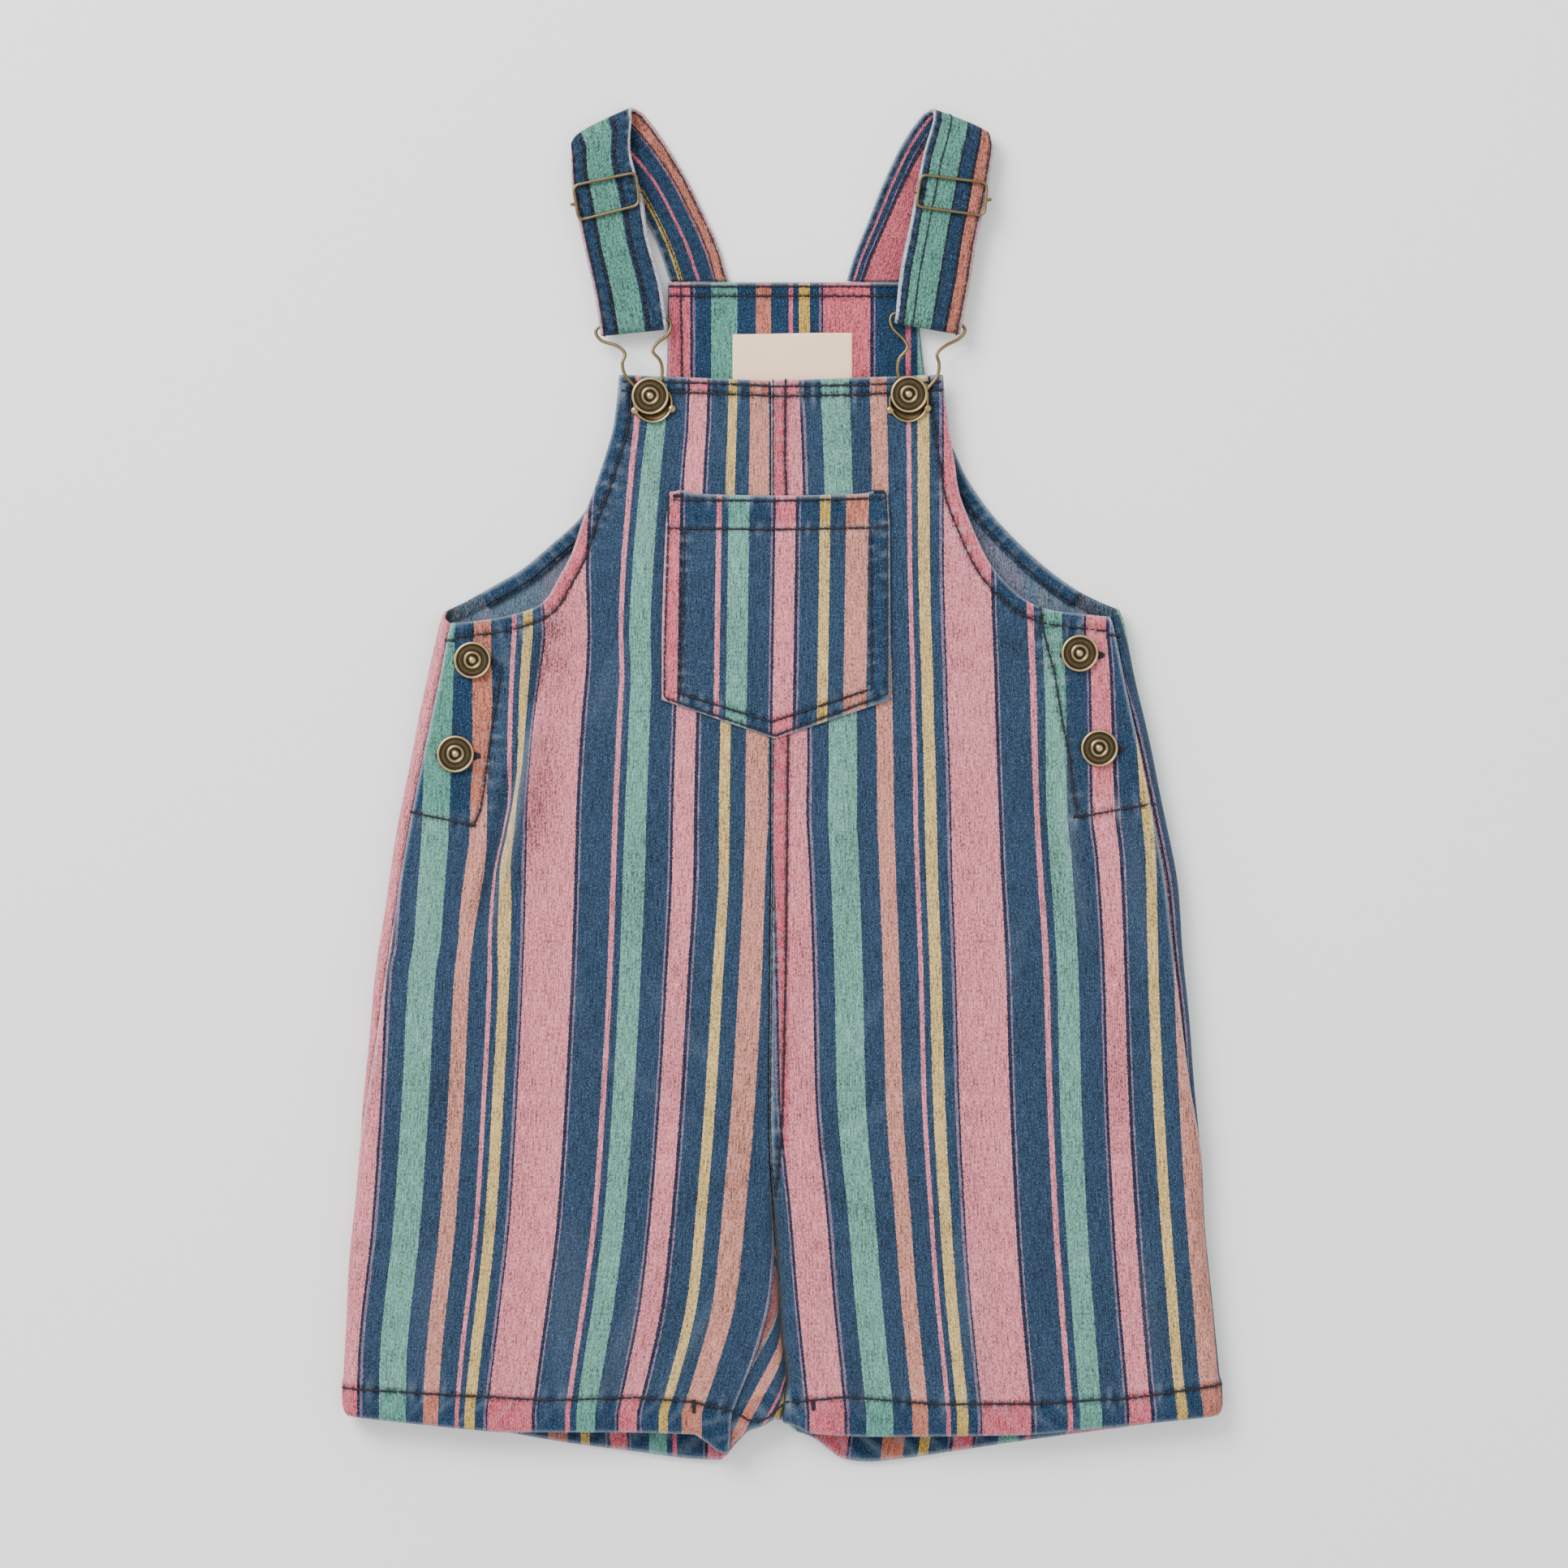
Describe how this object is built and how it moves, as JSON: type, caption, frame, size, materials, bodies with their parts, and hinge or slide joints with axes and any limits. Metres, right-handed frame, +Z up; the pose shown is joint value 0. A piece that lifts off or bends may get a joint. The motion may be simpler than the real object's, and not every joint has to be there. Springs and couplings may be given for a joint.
{
  "type": "kids bib overalls",
  "caption": "Child's short-legged bib overalls in striped denim, laid flat with adjustable straps, brass hooks and side buttons.",
  "frame": {"origin": "on the surface that the garment lies on, under the centre of its box", "axes": "+X to the wearer's left, +Y from the hems towards the straps, +Z up out of the front"},
  "size_m": [0.3793, 0.5856, 0.0155],
  "materials": {
    "denim": "matte",
    "label_cotton": "matte",
    "brass": "brushed"
  },
  "bodies": {
    "root": {"front_right": "denim", "front_left": "denim", "back_right": "denim", "back_left": "denim", "armhole_band_right": "denim", "armhole_band_left": "denim", "underlap_right": "denim", "underlap_left": "denim", "strap_right": "denim", "strap_left": "denim", "chest_pocket": "denim", "back_facing": "denim", "neck_label": "label_cotton", "slider_right": "brass", "slider_left": "brass", "hook_right": "brass", "hook_left": "brass", "bib_button_right": "brass", "bib_button_left": "brass", "side_button_right_upper": "brass", "side_button_right_lower": "brass", "side_button_left_upper": "brass", "side_button_left_lower": "brass"}
  },
  "joints": []
}
